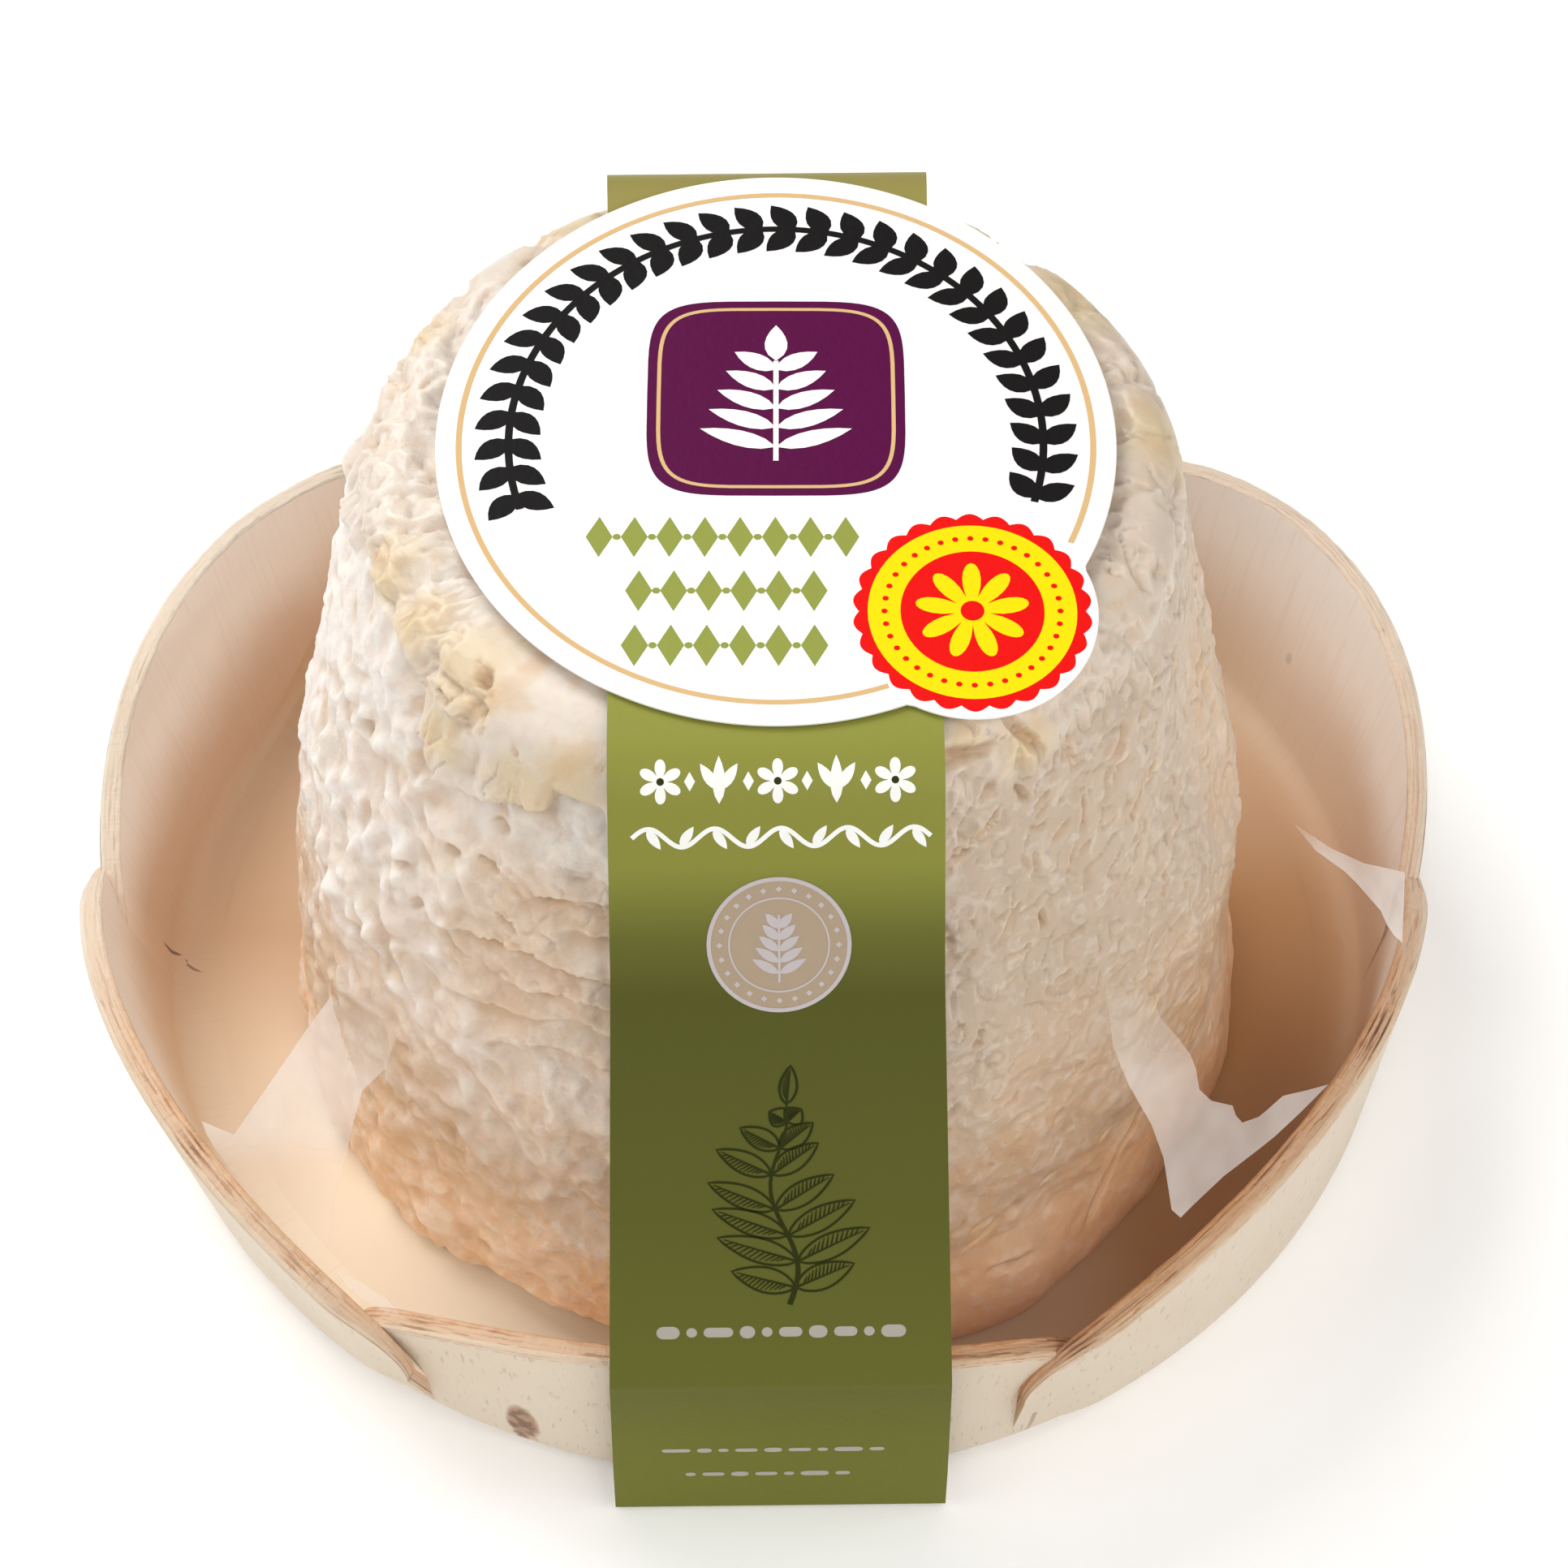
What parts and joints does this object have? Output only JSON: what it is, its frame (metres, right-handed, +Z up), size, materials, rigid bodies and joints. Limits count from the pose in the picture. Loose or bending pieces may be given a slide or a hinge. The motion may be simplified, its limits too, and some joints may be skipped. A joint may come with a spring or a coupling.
{
  "type": "chabichou cheese",
  "caption": "Small blunt-cone goat cheese in a petalled wood veneer tray, sealed in taut clear film, with a paper band wrapped round it and an oval card on top.",
  "frame": {"origin": "on the table under the middle of the pack's box", "axes": "+Z up through the cheese, -Y towards the front of the pack, where the band comes down over the petal, +X to the right seen from the front"},
  "size_m": [0.096, 0.0952, 0.0553],
  "materials": {
    "rind": "moist cream-white wrinkled rind with yellow and tan patches",
    "veneer": "bare moulded poplar plywood, fine grain",
    "film": "clear shrunk film, glossy",
    "band_paper": "satin coated paper printed in shades of olive green",
    "card_paper": "satin white card printed in gold, purple, black and olive"
  },
  "bodies": {
    "root": {"cheese": "rind", "tray": "veneer", "film": "film", "band": "band_paper", "card": "card_paper"}
  },
  "joints": []
}
